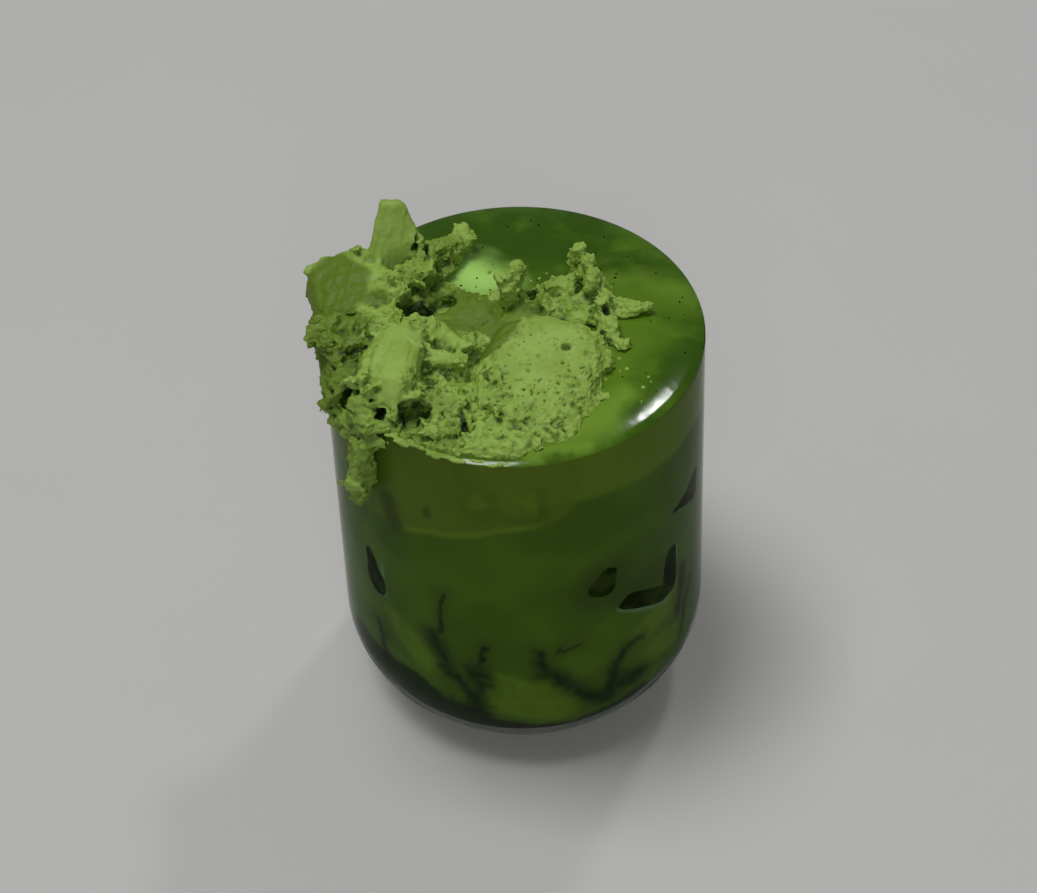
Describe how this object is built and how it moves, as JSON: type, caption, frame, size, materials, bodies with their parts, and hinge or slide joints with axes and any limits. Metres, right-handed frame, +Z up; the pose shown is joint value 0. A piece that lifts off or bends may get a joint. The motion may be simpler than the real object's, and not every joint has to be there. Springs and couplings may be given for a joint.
{
  "type": "iced matcha latte in a glass",
  "caption": "Round-cornered clear tumbler filled to the brim with iced green matcha latte, under a pale foam layer, with rough spoonfuls of matcha ice cream leaning over the rim.",
  "frame": {"origin": "centre of the flat foot, on the axis of the glass", "axes": "+Z up along the axis of the glass; -Y is the front, from which the drip hangs at the left; +X is to the right"},
  "size_m": [0.0858, 0.0816, 0.1201],
  "materials": {
    "glass": "clear, polished",
    "latte": "dark green milky liquid, marbled",
    "foam": "wet, green, cloudy",
    "ice_cream": "soft, torn and scooped",
    "ice": "clear wet ice, dark where it touches the wall"
  },
  "bodies": {
    "root": {"glass": "glass", "latte": "latte", "foam": "foam", "scoop_left": "ice_cream", "scoop_right": "ice_cream", "chunk": "ice_cream", "flake": "ice_cream"}
  },
  "joints": []
}
